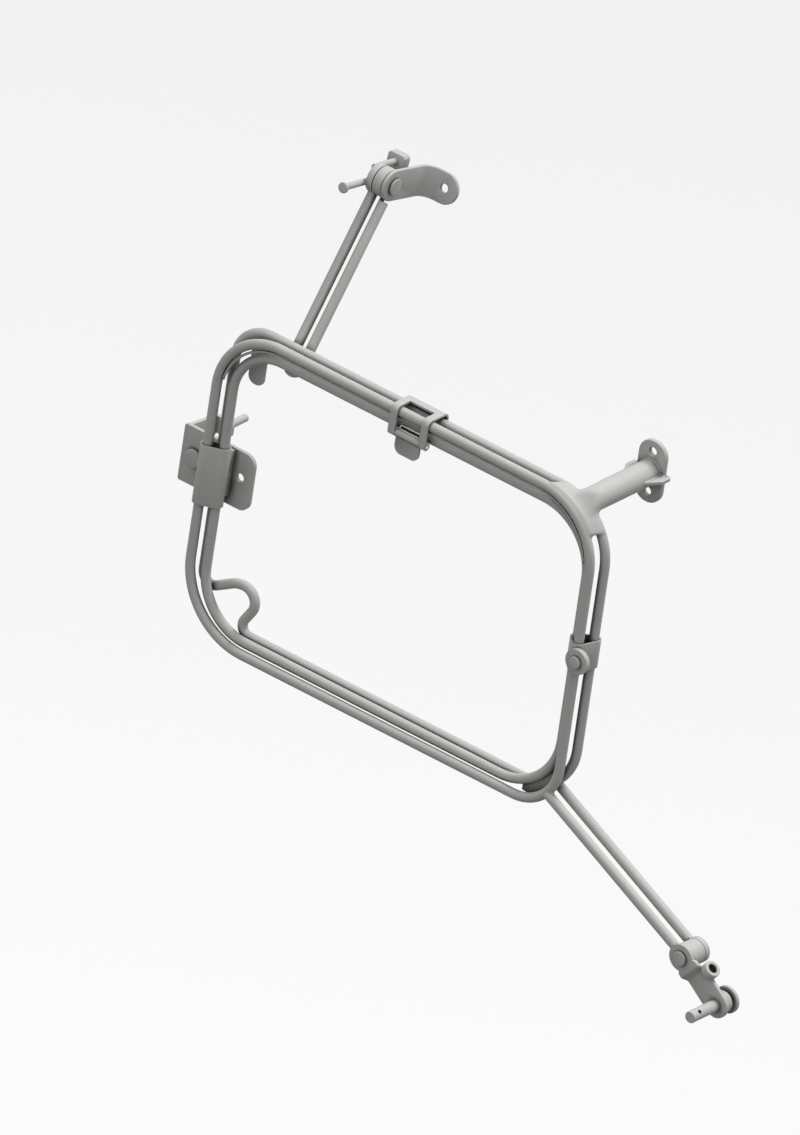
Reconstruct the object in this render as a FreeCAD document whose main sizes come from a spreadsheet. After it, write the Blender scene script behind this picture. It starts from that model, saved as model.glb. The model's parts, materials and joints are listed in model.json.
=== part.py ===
import FreeCAD, Part
import math
import os

# Motorbike case mount bracket: a side rack of welded round bar.
# X runs along the rack's top bar, Y from the case side towards the motorbike, Z up the sides.
# The origin is on the stub flange's mating face, midway between its two bolt holes.

V = FreeCAD.Vector
doc = FreeCAD.newDocument("case_mount_bracket")
sheet = doc.addObject("Spreadsheet::Sheet", "Sizes")

# Driving dimensions in millimetres, angles in degrees
SIZES = [
    ("rod_dia", 10.0, "round bar of the loops and arms"),
    ("weld_gap", 0.25, "play left where one bar is welded to another"),
    ("loop_width", 460.0, "front loop, centre line to centre line along X"),
    ("loop_height", 330.0, "front loop, centre line to centre line along Z"),
    ("front_sag", 1.4, "front loop, how much deeper its bottom bar sits than its top bar rises"),
    ("front_corner_upper_right", 68.0, "front loop corner radius"),
    ("front_corner_lower_right", 50.0, "front loop corner radius"),
    ("front_corner_lower_left", 75.0, "front loop corner radius"),
    ("front_corner_upper_left", 68.0, "front loop corner radius"),
    ("inner_inset_x", 10.9, "inner loop, how much narrower on each side"),
    ("inner_inset_z", 12.4, "inner loop, how much lower at top and bottom"),
    ("inner_shift_x", 3.6, "inner loop, shift along X"),
    ("inner_drop", 5.0, "inner loop, shift down"),
    ("inner_depth", 7.2, "inner loop behind the front loop"),
    ("inner_corner_upper_right", 61.0, "inner loop corner radius"),
    ("inner_corner_lower_right", 67.0, "inner loop corner radius"),
    ("inner_corner_lower_left", 58.0, "inner loop corner radius"),
    ("inner_corner_upper_left", 53.0, "inner loop corner radius"),
    ("rear_inset_z", 5.9, "rear loop, how much lower at top and bottom"),
    ("rear_shift_x", 4.8, "rear loop, shift along X"),
    ("rear_lift", 3.5, "rear loop, shift up"),
    ("rear_depth", 17.3, "rear loop behind the front loop"),
    ("rear_corner_upper_right", 64.0, "rear loop corner radius"),
    ("rear_corner_lower_right", 55.0, "rear loop corner radius"),
    ("rear_corner_upper_left", 38.0, "rear loop corner radius"),
    ("hook_foot_in", 46.7, "hook, where it leaves the bottom bar, from the rear loop's left side"),
    ("hook_top_in", 78.7, "hook, far end of the hump, from the rear loop's left side"),
    ("hook_top_up", 54.1, "hook, far end of the hump above the bottom bar"),
    ("hook_back_in", 40.2, "hook, near end of the hump, from the rear loop's left side"),
    ("hook_back_up", 48.6, "hook, near end of the hump above the bottom bar"),
    ("hook_end_up", 25.6, "hook, where it meets the left side above the bottom bar"),
    ("stub_inset", 25.6, "stub axis inside the front loop's right side"),
    ("stub_drop", 6.3, "stub axis below the front loop's top bar"),
    ("stub_reach", 116.5, "flange's mating face behind the front loop"),
    ("stub_dia", 25.5, "stub tube outside"),
    ("stub_wall", 3.0, "stub tube wall"),
    ("stub_end", 5.0, "stub's solid end behind the rear loop's bar"),
    ("stub_round", 4.0, "stub's rounded front edge"),
    ("stub_front", 8.0, "stub tube's coped end behind the front loop"),
    ("flange_thick", 5.0, "flange plate"),
    ("flange_width", 33.0, "flange plate, also twice its end radius"),
    ("flange_pitch", 43.0, "flange hole spacing"),
    ("flange_hole_dia", 9.0, "flange holes"),
    ("flange_tip", 11.5, "flange plate, hole to the plate's end"),
    ("fin_thick", 4.0, "stub fins"),
    ("fin_reach", 23.0, "stub fins, tip from the stub axis"),
    ("fin_length", 30.0, "stub fins along the stub"),
    ("saddle_thick", 3.0, "corner saddle sheet"),
    ("saddle_from", 32.0, "corner saddle, first angle on the corner arc"),
    ("saddle_to", 84.0, "corner saddle, last angle on the corner arc"),
    ("upper_arm_in", 74.0, "upper arm, middle between its two bars, from the front loop's left side"),
    ("upper_arm_pitch", 15.0, "upper arm, bar to bar"),
    ("arm_seat", 0.8, "upper arm, weld space behind the rear loop"),
    ("upper_arm_lean", 32.2, "upper arm, lean towards the motorbike"),
    ("upper_arm_reach", 180.0, "upper arm, from the rear loop's top bar to the pivot"),
    ("upper_arm_tail", 21.5, "upper arm, from the rear loop's top bar down to the bend"),
    ("eye_dia", 30.0, "upper arm's eyes"),
    ("lower_eye_dia", 26.0, "lower arm's eyes"),
    ("outer_eye_thick", 7.0, "upper arm, eye on the far bar"),
    ("inner_eye_thick", 10.0, "upper arm, eye on the near bar"),
    ("eye_gap", 1.0, "gap between neighbours on a pivot"),
    ("rivet_dia", 9.0, "pivot rivets"),
    ("rivet_head_dia", 17.0, "upper rivet's head"),
    ("lower_head_dia", 15.0, "lower rivet's heads"),
    ("rivet_head_thick", 3.0, "pivot rivet heads"),
    ("pivot_play", 0.06, "radial play of the pivots"),
    ("link_thick", 4.0, "upper link sheet"),
    ("link_width", 32.0, "upper link, also twice its end radius"),
    ("link_run", 57.5, "upper link, pivot to the outside of the bend"),
    ("link_bend", 16.0, "upper link, outer bend radius"),
    ("link_toe", 25.0, "upper link, outside of the bend to the hole"),
    ("link_hole_dia", 9.0, "upper link's mounting hole"),
    ("link_droop", 12.0, "upper link, tilt below level"),
    ("tommy_dia", 6.5, "headed pin and block pin on the upper eye"),
    ("tommy_head_dia", 11.0, "headed pin's head"),
    ("tommy_head_thick", 3.0, "headed pin's head"),
    ("tommy_length", 44.0, "headed pin"),
    ("tommy_rise", -4.5, "headed pin's axis above the upper pivot"),
    ("block_pin_length", 34.0, "block pin's shank"),
    ("block_rise", 9.0, "block pin's axis above the upper pivot"),
    ("block_width", 20.0, "block along X"),
    ("block_depth", 10.0, "block along Y"),
    ("block_height", 16.0, "block along Z"),
    ("lower_arm_drop", 27.2, "lower arm, slope below level"),
    ("lower_arm_in", 21.5, "lower arm's line at the corner, inside the front loop's right side"),
    ("lower_arm_up", 23.7, "lower arm's line at the corner, above the front loop's bottom"),
    ("lower_arm_reach", 222.0, "lower arm, from the corner to its pivot"),
    ("lower_arm_pitch", 20.6, "lower arm, bar to bar"),
    ("lower_eye_thick", 6.0, "lower arm's eyes"),
    ("lower_eye_set", 1.8, "lower arm's front eye, set back from its bar's axis"),
    ("barrel_dia", 25.2, "barrel between the lower arm's eyes"),
    ("foot_thick", 4.0, "foot plate"),
    ("foot_rim", 1.0, "foot plate's lobe beyond the eye"),
    ("foot_reach", 55.4, "foot plate, pivot to foot pin"),
    ("foot_slope", 37.5, "foot plate, slope below level"),
    ("foot_width", 27.0, "foot plate's lower leg, also twice its end radius"),
    ("foot_jog", 6.0, "foot plate's step towards the motorbike"),
    ("foot_neck", 8.0, "foot plate's leg, where its shoulders start, from the pivot"),
    ("foot_shoulder", 5.0, "foot plate's leg, rounding of its shoulders"),
    ("foot_jog_at", 16.0, "foot plate's step, from the pivot"),
    ("foot_jog_run", 5.0, "foot plate's step, length of its slope"),
    ("foot_pin_dia", 12.0, "foot pin"),
    ("foot_pin_reach", 39.0, "foot pin in front of the plate"),
    ("foot_pin_seat", 11.0, "foot pin, turned down through the plate"),
    ("foot_pin_hole", 4.0, "foot pin's cross hole"),
    ("foot_pin_hole_at", 10.0, "foot pin's cross hole from the pin's end"),
    ("hub_dia", 22.0, "spool behind the foot plate, hub"),
    ("hub_length", 9.0, "spool, hub length"),
    ("groove_dia", 14.0, "spool, groove"),
    ("groove_length", 3.0, "spool, groove length"),
    ("collar_dia", 28.0, "spool, collar"),
    ("collar_length", 4.0, "spool, collar length"),
    ("boss_dia", 17.0, "boss on the foot plate's edge"),
    ("boss_bore", 9.5, "boss, blind bore"),
    ("boss_length", 8.0, "boss, length off the edge"),
    ("boss_floor", 1.5, "boss, floor of its bore"),
    ("boss_at", 26.0, "boss, from the lower pivot"),
    ("latch_x", 2.0, "latch bracket's middle"),
    ("latch_width", 46.0, "latch bracket along X"),
    ("latch_sheet", 2.5, "latch bracket and flap sheet"),
    ("latch_leg", 8.0, "latch bracket, width of each front leg"),
    ("latch_window_back", 12.0, "latch window's rear edge behind the front loop"),
    ("latch_back_drop", 16.0, "latch bracket's rear flange, from the top"),
    ("latch_bend", 7.0, "latch bracket, outer bend radius"),
    ("hinge_drop", 21.0, "latch hinge below the front loop's top bar"),
    ("knuckle_dia", 8.0, "latch hinge knuckles"),
    ("latch_pin_dia", 3.0, "latch hinge pin"),
    ("knuckle_gap", 0.3, "gap between knuckles"),
    ("flap_length", 21.0, "latch flap below the hinge"),
    ("flap_corner", 8.0, "latch flap's lower corners"),
    ("sleeve_wall", 2.0, "clamp sleeve and side clamp sheet"),
    ("sleeve_length", 64.0, "clamp sleeve along Z"),
    ("plate_out", 45.0, "clamp bracket's left edge outside the front loop's left side"),
    ("plate_in", 42.0, "clamp bracket's right edge inside the front loop's left side"),
    ("plate_low", -35.0, "clamp bracket's lower edge"),
    ("plate_high", 26.0, "clamp bracket's upper edge"),
    ("plate_thick", 4.0, "clamp bracket sheet"),
    ("plate_corner", 12.0, "clamp bracket's rounded corners"),
    ("plate_hole_dia", 9.0, "clamp bracket's open hole"),
    ("plate_hole_in", 27.0, "clamp bracket's open hole inside the front loop's left side"),
    ("plate_hole_z", -1.7, "clamp bracket's open hole"),
    ("wall_depth", 49.0, "clamp bracket's side wall"),
    ("wall_tail", 18.0, "side wall's height at its rear end"),
    ("tab_width", 23.0, "clamp bracket's rear tab"),
    ("tab_high", 20.0, "rear tab's upper edge"),
    ("bolt_out", 28.6, "clamp bolt outside the front loop's left side"),
    ("bolt_z", -4.5, "clamp bolt"),
    ("bolt_dia", 10.0, "clamp bolt's shank"),
    ("bolt_head_dia", 19.0, "clamp bolt's head"),
    ("bolt_head_thick", 5.0, "clamp bolt's head"),
    ("nut_flats", 16.0, "clamp nut across flats"),
    ("nut_thick", 8.0, "clamp nut"),
    ("locator_dia", 8.0, "locating pin"),
    ("locator_length", 30.0, "locating pin"),
    ("side_clamp_z", 7.5, "side clamp's middle"),
    ("side_clamp_length", 30.0, "side clamp along Z"),
    ("side_boss_dia", 26.0, "side clamp's round boss"),
    ("side_boss_thick", 5.0, "side clamp's round boss"),
    ("side_boss_shift", 8.0, "side clamp's boss, off the front bar"),
    ("side_screw_dia", 6.0, "side clamp's screw"),
    ("side_screw_head", 13.0, "side clamp's screw head"),
    ("side_screw_thick", 3.5, "side clamp's screw head"),
    ("gusset_thick", 3.0, "corner tab and corner web"),
    ("corner_tab_width", 19.0, "tab at the upper left corner"),
    ("corner_tab_length", 57.0, "tab at the upper left corner"),
    ("corner_tab_in", 23.2, "tab's middle inside the rear loop's left side"),
    ("corner_tab_under", 4.6, "tab's upper end below the rear loop's top bar"),
    ("web_chord", 43.0, "web at the lower right corner, chord from the arc's centre"),
]
for row, (alias, value, note) in enumerate(SIZES, 1):
    sheet.set(f"A{row}", note)
    sheet.set(f"B{row}", str(value))
    sheet.setAlias(f"B{row}", alias)
doc.recompute()


def val(alias):
    return float(sheet.get(alias))


stub_x = val("loop_width") / 2 - val("stub_inset")
stub_z = val("loop_height") / 2 - val("stub_drop")


def at(x, y, z):
    """A point given from the front loop's centre, in the part's own frame."""
    return V(x - stub_x, y - val("stub_reach"), z - stub_z)


PIECES = []


def piece(obj, node):
    obj.Label = node
    PIECES.append(obj)
    return obj


def bind(obj, **expressions):
    for name, expression in expressions.items():
        obj.setExpression(name, expression)


def turned(direction):
    return FreeCAD.Rotation(V(0, 0, 1), direction)


def cylinder(name, radius, height, base, axis):
    """A Part::Cylinder whose radius and height are expressions on the sheet."""
    obj = doc.addObject("Part::Cylinder", name)
    bind(obj, Radius=radius, Height=height)
    obj.Placement = FreeCAD.Placement(base, turned(axis))
    return obj


def box(name, length, width, height, corner, rotation=None):
    """A Part::Box whose sides are expressions on the sheet."""
    obj = doc.addObject("Part::Box", name)
    bind(obj, Length=length, Width=width, Height=height)
    obj.Placement = FreeCAD.Placement(corner, rotation or FreeCAD.Rotation())
    return obj


def cut(name, base, tool):
    obj = doc.addObject("Part::Cut", name)
    obj.Base = base
    obj.Tool = tool
    return obj


def common(name, base, tool):
    obj = doc.addObject("Part::Common", name)
    obj.Base = base
    obj.Tool = tool
    return obj


def fuse(name, shapes):
    obj = doc.addObject("Part::MultiFuse", name)
    obj.Shapes = shapes
    obj.Refine = True
    return obj


def rounded_wire(points, radii, closed):
    """Straight runs joined by tangent arcs; a radius of 0 leaves a corner sharp."""
    count = len(points)
    stops = []
    for i, corner in enumerate(points):
        inside = closed or 0 < i < count - 1
        if not inside or radii[i] <= 0:
            stops.append((corner, None, corner))
            continue
        back = (points[i - 1] - corner).normalize()
        ahead = (points[(i + 1) % count] - corner).normalize()
        half = back.getAngle(ahead) / 2
        middle = (back + ahead).normalize()
        setback = radii[i] / math.tan(half)
        crown = corner + middle * (radii[i] / math.sin(half) - radii[i])
        stops.append((corner + back * setback, crown, corner + ahead * setback))
    edges = []
    for i, (start, crown, end) in enumerate(stops):
        if crown is not None:
            edges.append(Part.Arc(start, crown, end).toShape())
        last = i == count - 1
        if last and not closed:
            break
        follow = stops[(i + 1) % count][0]
        if end.distanceToPoint(follow) > 1e-6:
            edges.append(Part.LineSegment(end, follow).toShape())
    return Part.Wire(Part.__sortEdges__(edges))


def bent_bar(name, points, radii, closed=False):
    """A round bar swept along straight runs and bends."""
    path = doc.addObject("Part::Feature", name + "_path")
    path.Shape = rounded_wire(points, radii, closed)
    first = path.Shape.Edges[0]
    start = first.valueAt(first.FirstParameter)
    tangent = first.tangentAt(first.FirstParameter)
    section = doc.addObject("Part::Circle", name + "_section")
    bind(section, Radius="Sizes.rod_dia / 2")
    section.Placement = FreeCAD.Placement(start, turned(tangent))
    bar = doc.addObject("Part::Sweep", name)
    bar.Sections = [section]
    bar.Spine = (path, [f"Edge{n + 1}" for n in range(len(path.Shape.Edges))])
    bar.Solid = True
    return bar


def plate(name, points, radii, direction, thickness):
    """A flat outline with rounded corners, extruded by a sheet thickness."""
    outline = doc.addObject("Part::Feature", name + "_outline")
    outline.Shape = Part.Face(rounded_wire(points, radii, True))
    solid = doc.addObject("Part::Extrusion", name)
    solid.Base = outline
    solid.DirMode = "Custom"
    solid.Dir = direction
    solid.Solid = True
    bind(solid, LengthFwd=thickness)
    return solid


# Values that several pieces share
ALONG_X = V(1, 0, 0)
ALONG_Y = V(0, 1, 0)
ALONG_Z = V(0, 0, 1)
rod_r = val("rod_dia") / 2
touch = val("weld_gap")
front_right = val("loop_width") / 2
front_top = val("loop_height") / 2
front_low = -front_top - val("front_sag")
inner_y = val("inner_depth")
inner_left = -front_right + val("inner_inset_x") + val("inner_shift_x")
inner_right = front_right - val("inner_inset_x") + val("inner_shift_x")
inner_top = front_top - val("inner_inset_z") - val("inner_drop")
inner_low = -front_top + val("inner_inset_z") - val("inner_drop")
rear_y = val("rear_depth")
rear_left = -front_right + val("rear_shift_x")
rear_right = front_right + val("rear_shift_x")
rear_top = front_top - val("rear_inset_z") + val("rear_lift")
rear_low = -front_top + val("rear_inset_z") + val("rear_lift")
rear_back = rear_y + rod_r + touch


# Rod loops
CORNERS = ["upper_right", "lower_right", "lower_left", "upper_left"]


def closed_loop(loop, left, right, low, high, depth):
    corners = [at(right, depth, high), at(right, depth, low), at(left, depth, low), at(left, depth, high)]
    radii = [val(f"{loop}_corner_{corner}") for corner in CORNERS]
    return bent_bar(f"{loop}_loop_bar", corners, radii, closed=True)


front_loop = closed_loop("front", -front_right, front_right, front_low, front_top, 0)
piece(front_loop, "front_loop")
inner_loop = closed_loop("inner", inner_left, inner_right, inner_low, inner_top, inner_y)
piece(inner_loop, "inner_loop")

# The rear loop turns into a hook in place of its lower left corner
HOOK_BENDS = [10.0, 15.0, 25.0, 12.0]
rear_points = [
    at(rear_right, rear_y, rear_top),
    at(rear_right, rear_y, rear_low),
    at(rear_left + val("hook_foot_in"), rear_y, rear_low),
    at(rear_left + val("hook_top_in"), rear_y, rear_low + val("hook_top_up")),
    at(rear_left + val("hook_back_in"), rear_y, rear_low + val("hook_back_up")),
    at(rear_left, rear_y, rear_low + val("hook_end_up")),
    at(rear_left, rear_y, rear_top),
]
rear_corner = val("rear_corner_upper_right")
rear_low_corner = val("rear_corner_lower_right")
rear_radii = [rear_corner, rear_low_corner] + HOOK_BENDS + [val("rear_corner_upper_left")]
piece(bent_bar("rear_loop_bar", rear_points, rear_radii, closed=True), "rear_loop")


# Stub: tube with a solid rounded end coped over the rear loop's corner, flange, fins and the corner saddle
tube_front = at(stub_x, val("stub_front"), stub_z)
tube_length = "Sizes.stub_reach - Sizes.flange_thick - Sizes.stub_front"
tube_outside = cylinder("stub_outside", "Sizes.stub_dia / 2", tube_length, tube_front, ALONG_Y)
tube_rounded = doc.addObject("Part::Fillet", "stub_rounded")
tube_rounded.Base = tube_outside
doc.recompute()
tube_rounded.Edges = [(n + 1, val("stub_round"), val("stub_round"))
                      for n, edge in enumerate(tube_outside.Shape.Edges)
                      if abs(edge.BoundBox.YMax - tube_front.y) < 1e-6]
bore_from = at(stub_x, rear_back + val("stub_end"), stub_z)
tube_inside = cylinder("stub_inside", "Sizes.stub_dia / 2 - Sizes.stub_wall", tube_length, bore_from,
                       ALONG_Y)
rear_arc = at(rear_right - rear_corner, rear_y, rear_top - rear_corner)
cope = doc.addObject("Part::Torus", "stub_cope")
bind(cope, Radius1="Sizes.rear_corner_upper_right", Radius2="Sizes.rod_dia / 2 + Sizes.weld_gap")
cope.Placement = FreeCAD.Placement(rear_arc, turned(ALONG_Y))
piece(cut("stub", cut("stub_bored", tube_rounded, tube_inside), cope), "stub_tube")

half_flange = val("flange_width") / 2
half_holes = val("flange_pitch") / 2
flange_end = half_holes + val("flange_tip")
flange_face = val("stub_reach") - val("flange_thick")
flange_points = [
    at(stub_x + sx * half_flange, flange_face, stub_z + sz * flange_end)
    for sx, sz in [(1, 1), (1, -1), (-1, -1), (-1, 1)]
]
FLANGE_ROUND = 0.96
flange = plate("flange_blank", flange_points, [half_flange * FLANGE_ROUND] * 4, ALONG_Y,
               "Sizes.flange_thick")
for side in (1, -1):
    hole = cylinder(f"flange_hole_{side + 2}", "Sizes.flange_hole_dia / 2", "Sizes.flange_thick",
                    at(stub_x, flange_face, stub_z + side * half_holes), ALONG_Y)
    flange = cut(f"flange_drilled_{side + 2}", flange, hole)
piece(flange, "stub_flange")

FIN_SHOULDER = 0.55
FIN_ROUNDS = [0, 6, 3, 0, 0, 0]
fins = []
tube_r = val("stub_dia") / 2
fin_root = tube_r + touch / 2
fin_low = stub_z - val("fin_thick") / 2
for side in (1, -1):
    fin_front = val("stub_reach") - val("fin_length")
    notch = val("stub_reach") - val("flange_thick") - touch / 2
    fin_points = [
        at(stub_x + side * fin_root, fin_front, fin_low),
        at(stub_x + side * val("fin_reach"), fin_front + val("fin_length") * FIN_SHOULDER, fin_low),
        at(stub_x + side * val("fin_reach"), val("stub_reach"), fin_low),
        at(stub_x + side * (half_flange + touch / 2), val("stub_reach"), fin_low),
        at(stub_x + side * (half_flange + touch / 2), notch, fin_low),
        at(stub_x + side * fin_root, notch, fin_low),
    ]
    fins.append(plate(f"fin_{side + 2}", fin_points, FIN_ROUNDS, ALONG_Z, "Sizes.fin_thick"))
fin_pair = doc.addObject("Part::Compound", "fins")
fin_pair.Links = fins
piece(fin_pair, "stub_fins")

# The saddle is a ruled sheet from the front loop's corner to the rear loop's corner
SLOPE_ROOM = 0.6
saddle_rise = rod_r + touch + SLOPE_ROOM


def corner_arc(centre, radius):
    turn = [math.radians(val(a)) for a in ("saddle_from", "saddle_to")]
    spots = [turn[0], sum(turn) / 2, turn[1]]
    ends = [centre + V(math.cos(t), 0, math.sin(t)) * radius for t in spots]
    return Part.Arc(*ends).toShape()


front_corner = val("front_corner_upper_right")
front_arc = at(front_right - front_corner, 0, front_top - front_corner)
sheet_face = Part.makeRuledSurface(corner_arc(front_arc, front_corner + saddle_rise),
                                   corner_arc(rear_arc, rear_corner + saddle_rise))
outward = math.radians((val("saddle_from") + val("saddle_to")) / 2)
saddle_blank = doc.addObject("Part::Feature", "saddle_blank")
saddle_blank.Shape = sheet_face.extrude(V(math.cos(outward), 0, math.sin(outward)) * val("saddle_thick"))
tube_room = cylinder("saddle_tube_room", "Sizes.stub_dia / 2 + Sizes.weld_gap", tube_length, tube_front,
                     ALONG_Y)
piece(cut("saddle", saddle_blank, tube_room), "corner_saddle")


# Upper arm: a hairpin of bar behind the top bars, with an eye on each bar's end
lean = math.radians(val("upper_arm_lean"))
up = V(0, math.sin(lean), math.cos(lean))
behind = V(0, math.cos(lean), -math.sin(lean))
arm_x = -front_right + val("upper_arm_in")
arm_half = val("upper_arm_pitch") / 2
arm_foot = at(arm_x, rear_y, rear_top) + behind * (2 * rod_r + val("arm_seat"))
upper_pivot = arm_foot + up * val("upper_arm_reach")
bend_low = arm_foot - up * val("upper_arm_tail")
side = V(arm_half, 0, 0)
EYE_SINK = 8.0
HAIRPIN_ROUND = 0.98
bar_end = upper_pivot - up * (val("eye_dia") / 2 - EYE_SINK)
hairpin = bent_bar("upper_hairpin", [bar_end - side, bend_low - side, bend_low + side, bar_end + side],
                   [0, arm_half * HAIRPIN_ROUND, arm_half * HAIRPIN_ROUND, 0])
EYE_PROUD = 0.3
BAR_ROOM = 4.0
outer_eye_left = -arm_half - rod_r - EYE_PROUD
outer_eye_right = outer_eye_left + val("outer_eye_thick")
inner_eye_left = outer_eye_right + val("eye_gap")
link_left = inner_eye_left + val("inner_eye_thick") + val("eye_gap")
outer_eye = cylinder("upper_outer_eye", "Sizes.eye_dia / 2", "Sizes.outer_eye_thick",
                     upper_pivot + V(outer_eye_left, 0, 0), ALONG_X)
inner_eye = cylinder("upper_inner_eye", "Sizes.eye_dia / 2", "Sizes.inner_eye_thick",
                     upper_pivot + V(inner_eye_left, 0, 0), ALONG_X)
between_room = cylinder("upper_between_room", f"Sizes.eye_dia / 2 + {BAR_ROOM}", f"{-outer_eye_right}",
                        upper_pivot + V(outer_eye_right, 0, 0), ALONG_X)
link_room = cylinder("upper_link_room", f"Sizes.link_width / 2 + {BAR_ROOM}", "Sizes.rod_dia",
                     upper_pivot + V(link_left - val("eye_gap"), 0, 0), ALONG_X)
upper_bore = cylinder("upper_bore", "Sizes.rivet_dia / 2 + Sizes.pivot_play",
                      "Sizes.outer_eye_thick + Sizes.inner_eye_thick + Sizes.eye_gap",
                      upper_pivot + V(outer_eye_left, 0, 0), ALONG_X)
hairpin = cut("upper_hairpin_parted", hairpin, between_room)
hairpin = cut("upper_hairpin_relieved", hairpin, link_room)
upper_arm = fuse("upper_arm_joined", [hairpin, outer_eye, inner_eye])
piece(cut("upper_arm_bored", upper_arm, upper_bore), "upper_arm")

# Upper link: a strip bent round at right angles, with a hole in its toe
droop = FreeCAD.Rotation(ALONG_X, -val("link_droop"))
link_place = FreeCAD.Placement(upper_pivot, droop)
link_right = link_left + val("link_thick")
run = val("link_run")
toe = val("link_toe")
link_half = val("link_width") / 2
bend_out = val("link_bend")
bend_in = bend_out - val("link_thick")
toe_end = link_left + toe + link_half
strip_points = [
    V(link_left, -link_half, -link_half),
    V(link_left, run, -link_half),
    V(toe_end, run, -link_half),
    V(toe_end, run - val("link_thick"), -link_half),
    V(link_right, run - val("link_thick"), -link_half),
    V(link_right, -link_half, -link_half),
]
strip = plate("link_strip", strip_points, [0, bend_out, 0, 0, bend_in, 0], ALONG_Z, "Sizes.link_width")
heel = cylinder("link_heel", "Sizes.link_width / 2", "Sizes.link_toe + Sizes.link_width",
                V(link_left, 0, 0), ALONG_X)
heel_run = box("link_heel_run", "Sizes.link_toe + Sizes.link_width", "Sizes.link_run", "Sizes.link_width",
               V(link_left, 0, -link_half))
toe_round = cylinder("link_toe_round", "Sizes.link_width / 2", "Sizes.link_run + Sizes.link_width",
                     V(link_left + toe, -link_half, 0), ALONG_Y)
toe_run = box("link_toe_run", "Sizes.link_toe", "Sizes.link_run + Sizes.link_width", "Sizes.link_width",
              V(link_left, -link_half, -link_half))
link = common("link_heeled", strip, fuse("link_side_outline", [heel, heel_run]))
link = common("link_toed", link, fuse("link_front_outline", [toe_round, toe_run]))
link_bore = cylinder("link_bore", "Sizes.rivet_dia / 2 + Sizes.pivot_play", "Sizes.link_thick",
                     V(link_left, 0, 0), ALONG_X)
link_hole = cylinder("link_hole", "Sizes.link_hole_dia / 2", "Sizes.link_thick",
                     V(link_left + toe, run - val("link_thick"), 0), ALONG_Y)
link = cut("link_bored", cut("link_pivoted", link, link_bore), link_hole)
link.Placement = link_place
piece(link, "upper_link")

# Upper rivet, through both eyes and the link, flush at its far end
shank = cylinder("upper_rivet_shank", "Sizes.rivet_dia / 2",
                 "Sizes.outer_eye_thick + Sizes.inner_eye_thick + Sizes.link_thick + 2 * Sizes.eye_gap "
                 "+ Sizes.weld_gap", upper_pivot + V(outer_eye_left, 0, 0), ALONG_X)
head = cylinder("upper_rivet_head", "Sizes.rivet_head_dia / 2", "Sizes.rivet_head_thick",
                upper_pivot + V(link_right + touch, 0, 0), ALONG_X)
piece(fuse("upper_rivet_joined", [shank, head]), "upper_rivet")

# Headed pin and block pin, welded to the outer face of the upper outer eye
tommy_x = outer_eye_left - val("tommy_dia") / 2 - touch
PIN_DROOP = 8.6
pin_turn = FreeCAD.Rotation(ALONG_X, -PIN_DROOP)
pin_way = pin_turn.multVec(ALONG_Y)
pin_front = upper_pivot + V(tommy_x, 0, val("tommy_rise")) - pin_way * val("tommy_length")
tommy_shank = cylinder("tommy_shank", "Sizes.tommy_dia / 2", "Sizes.tommy_length", pin_front, pin_way)
tommy_head = cylinder("tommy_head", "Sizes.tommy_head_dia / 2", "Sizes.tommy_head_thick", pin_front,
                      -pin_way)
piece(fuse("tommy_joined", [tommy_shank, tommy_head]), "headed_pin")
block_front = upper_pivot + V(tommy_x, 0, val("block_rise"))
block_shank = cylinder("block_shank", "Sizes.tommy_dia / 2", "Sizes.block_pin_length", block_front, pin_way)
block_corner = V(-val("block_width") / 2, 0, -val("block_height") / 2)
block_base = block_front + pin_way * val("block_pin_length") + pin_turn.multVec(block_corner)
block_blank = box("block_blank", "Sizes.block_width", "Sizes.block_depth", "Sizes.block_height", block_base,
                  pin_turn)
block_soft = doc.addObject("Part::Chamfer", "block_soft")
block_soft.Base = block_blank
BLOCK_CHAMFER = 2.5
doc.recompute()
block_soft.Edges = [(n + 1, BLOCK_CHAMFER, BLOCK_CHAMFER) for n, edge in enumerate(block_blank.Shape.Edges)
                    if abs(edge.Length - val("block_depth")) < 1e-6]
piece(fuse("block_joined", [block_shank, block_soft]), "block_pin")


# Lower arm: two bars coped over the front and rear loops' lower corners, each with a forged eye
slope = math.radians(val("lower_arm_drop"))
out = V(math.cos(slope), 0, -math.sin(slope))
lower_half = val("lower_arm_pitch") / 2
arm_line = at(front_right - val("lower_arm_in"), rear_y / 2, -front_top + val("lower_arm_up"))
lower_pivot = arm_line + out * val("lower_arm_reach")
eye_half = val("lower_eye_thick") / 2
front_low_corner = val("front_corner_lower_right")
front_low_arc = at(front_right - front_low_corner, 0, front_low + front_low_corner)
rear_low_arc = at(rear_right - rear_low_corner, rear_y, rear_low + rear_low_corner)


def run_to_arc(centre, radius):
    """Distance along the arm's line from its start to a corner's centre line."""
    start = V(arm_line.x - centre.x, 0, arm_line.z - centre.z)
    along = start.dot(out)
    return math.sqrt(radius ** 2 - start.Length ** 2 + along ** 2) - along


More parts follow.
